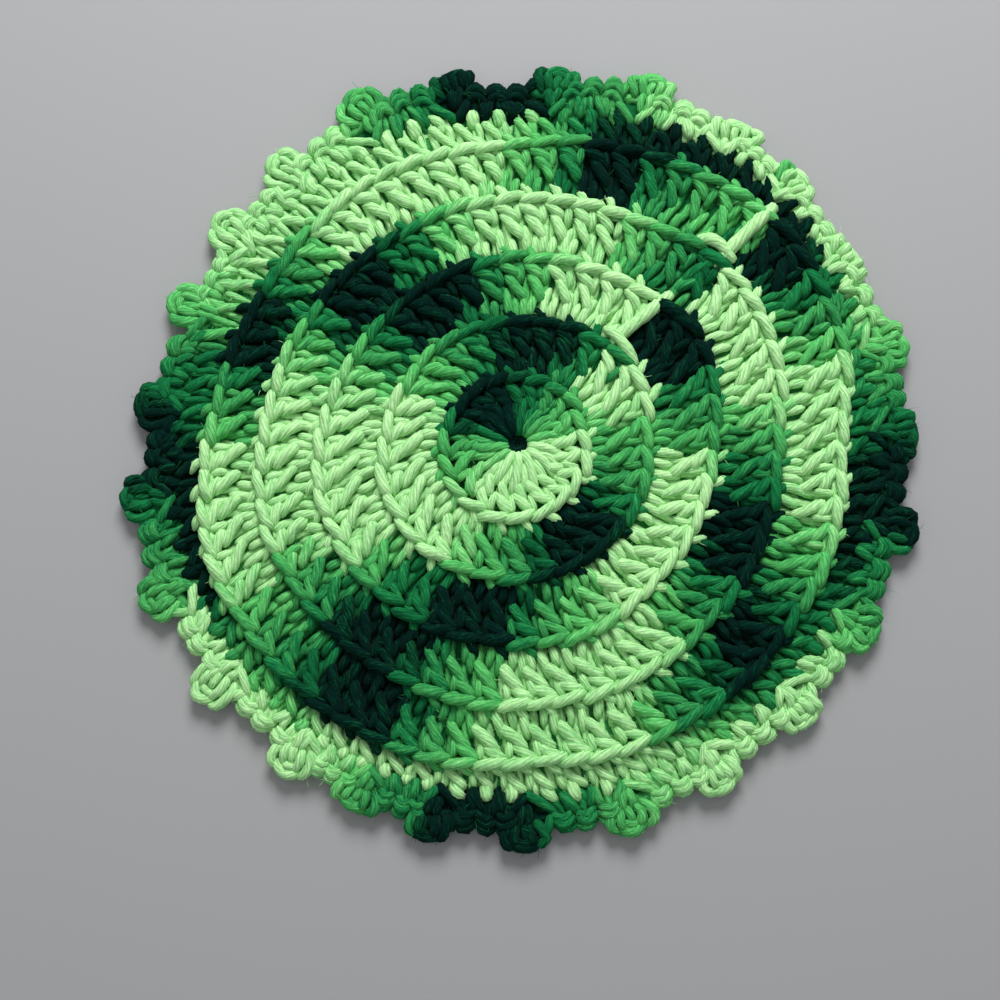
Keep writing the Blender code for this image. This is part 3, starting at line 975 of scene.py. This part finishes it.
# Where a fibre bends and ends: shares of its length along its heading, its bend and off the yarn
FIBRE_BENDS = (
    # along, bent, off
    (0.35, 0.0, 0.1),
    (0.7, 0.18, 0.0),
    (0.9, 0.5, 0.0),
)
FIBRE_SIDES = 3
FIBRE_SHADE = 0.74
# Fibres stand on the upper side of the yarn, and at the rim on its outer side as well
TOP_LOWEST, TOP_FACING = 2.6, 0.1
RIM_REACH, RIM_LOWEST, RIM_FACING = 83.0, 1.0, -0.5

draws = np.random.default_rng(21)
roots, away, shades = [], [], []
for piece in rounds[:-1]:
    count = len(piece.data.vertices)
    for kept, source, key, width in (
        (roots, piece.data.vertices, "co", 3),
        (away, piece.data.vertices, "normal", 3),
        (shades, piece.data.attributes["dye"].data, "value", 1),
    ):
        values = np.empty(count * width)
        source.foreach_get(key, values)
        kept.append(values.reshape(count, width))
roots, away, shades = (np.concatenate(kept) for kept in (roots, away, shades))
on_top = (roots[:, 2] > TOP_LOWEST * MM) & (away[:, 2] > TOP_FACING)
at_rim = np.hypot(roots[:, 0], roots[:, 1]) > RIM_REACH * MM
on_rim = at_rim & (roots[:, 2] > RIM_LOWEST * MM) & (away[:, 2] > RIM_FACING)
outside = np.flatnonzero(on_top | on_rim)
chosen = draws.choice(outside, FIBRES, replace=False)
roots, away, shades = roots[chosen], away[chosen], shades[chosen]
lengths = draws.uniform(*FIBRE_LENGTH, (FIBRES, 1)) * MM
sideways = unit(draws.normal(0, 1, (FIBRES, 3)))
bend = unit(draws.normal(0, 1, (FIBRES, 3)))
heading = unit(away * FIBRE_LEAN + sideways)
middles = [roots - away * FIBRE_ROOT * MM]
for along, bent, off in FIBRE_BENDS:
    middles.append(roots + (heading * along + bend * bent + away * off) * lengths)
for middle in middles:
    middle[:, 2] = np.maximum(middle[:, 2], FIBRE_RADIUS * MM)
across = unit(np.cross(heading, bend))
over = np.cross(heading, across)
places = []
for middle in middles[:-1]:
    for corner in range(FIBRE_SIDES):
        turn = math.radians(360 / FIBRE_SIDES * corner)
        places.append(middle + (math.cos(turn) * across + math.sin(turn) * over) * FIBRE_RADIUS * MM)
tip = len(places)
places.append(middles[-1])
corners = len(places)
places = np.stack(places, axis=1).reshape(-1, 3)
fibre_faces = [(2, 1, 0)]
for start in range(0, tip, FIBRE_SIDES):
    for corner in range(FIBRE_SIDES):
        here = start + corner
        following = start + (corner + 1) % FIBRE_SIDES
        if start + FIBRE_SIDES == tip:
            fibre_faces.append((here, following, tip))
        else:
            fibre_faces.append((here, following, following + FIBRE_SIDES))
            fibre_faces.append((here, following + FIBRE_SIDES, here + FIBRE_SIDES))
faces = (np.arange(FIBRES)[:, None, None] * corners + np.array(fibre_faces)[None]).reshape(-1, 3)
lighter = np.repeat(shades[:, 0], corners) * FIBRE_SHADE
rounds.append(make_yarn_piece("loose_fibres", [{
    "places": places,
    "quads": np.empty((0, 4), int),
    "caps": faces,
    "ply": np.ones(len(places)),
    "fibre": places / MM,
    "dye": lighter,
}], cotton))


# ---- Inside of the fabric -------------------------------------------------------------------
# The hidden middle of the stitches, a thin close layer that carries all the rounds and closes
# the mat between its two sides. Its dye is painted darker, and its base colour takes the full
# groove shade, as painted shade seen in the gaps between the strands above it.

GROUND_RINGS = 30
GROUND_SPOKES = 200
GROUND_TOP = 1.85
GROUND_FOOT = 1.35
GROUND_HOLE = 2.8
GROUND_EDGE_INSET = 3.2
GROUND_PAINTED_SHADE = 0.45
spokes = np.arange(GROUND_SPOKES) * 360 / GROUND_SPOKES
share = np.linspace(0, 1, GROUND_RINGS)[:, None]
reach = GROUND_HOLE + (reach_at(spokes, EDGE) - GROUND_EDGE_INSET - GROUND_HOLE) * share
top = on_mat(spokes, reach, GROUND_TOP)
foot = on_mat(spokes, reach, GROUND_FOOT)
places = np.concatenate((top.reshape(-1, 3), foot.reshape(-1, 3)))
layer = GROUND_RINGS * GROUND_SPOKES
faces = []
for ring in range(GROUND_RINGS - 1):
    for spoke in range(GROUND_SPOKES):
        a = ring * GROUND_SPOKES + spoke
        b = ring * GROUND_SPOKES + (spoke + 1) % GROUND_SPOKES
        c, d = b + GROUND_SPOKES, a + GROUND_SPOKES
        faces.append((a, d, c, b))
        faces.append((layer + a, layer + b, layer + c, layer + d))
last = (GROUND_RINGS - 1) * GROUND_SPOKES
for spoke in range(GROUND_SPOKES):
    after = (spoke + 1) % GROUND_SPOKES
    faces.append((spoke, after, layer + after, layer + spoke))
    faces.append((last + after, last + spoke, layer + last + spoke, layer + last + after))
ground_mesh = bpy.data.meshes.new("fabric_inside")
ground_mesh.from_pydata(places.tolist(), [], faces)
ground_mesh.update()
ground_mesh.shade_smooth()
charts = [DYES["round_%d" % number] for number in range(1, LOW)] + [LOW_DYE, EDGE_DYE]
which = sum((reach > reach_at(spokes, ridge)).astype(int) for ridge in range(1, EDGE))
dye = np.stack([chart_at(chart, spokes) for chart in charts])[which, np.arange(GROUND_SPOKES)].ravel()
# Painted shade: the dye is pulled towards the darkest, standing in for the shade in the gaps between
# strands
dye = np.minimum(np.concatenate((dye, dye)) * (1 - GROUND_PAINTED_SHADE) + GROUND_PAINTED_SHADE, 1.0)
for (key, kind, field), values in zip(YARN_FACTS, (dye, np.zeros(len(dye)), (places / MM).ravel())):
    ground_mesh.attributes.new(key, kind, "POINT").data.foreach_set(field, values)
ground_mesh.materials.append(cotton)
ground = bpy.data.objects.new("fabric_inside", ground_mesh)
bpy.context.scene.collection.objects.link(ground)
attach(ground, "root")
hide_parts("crocheted_mat")
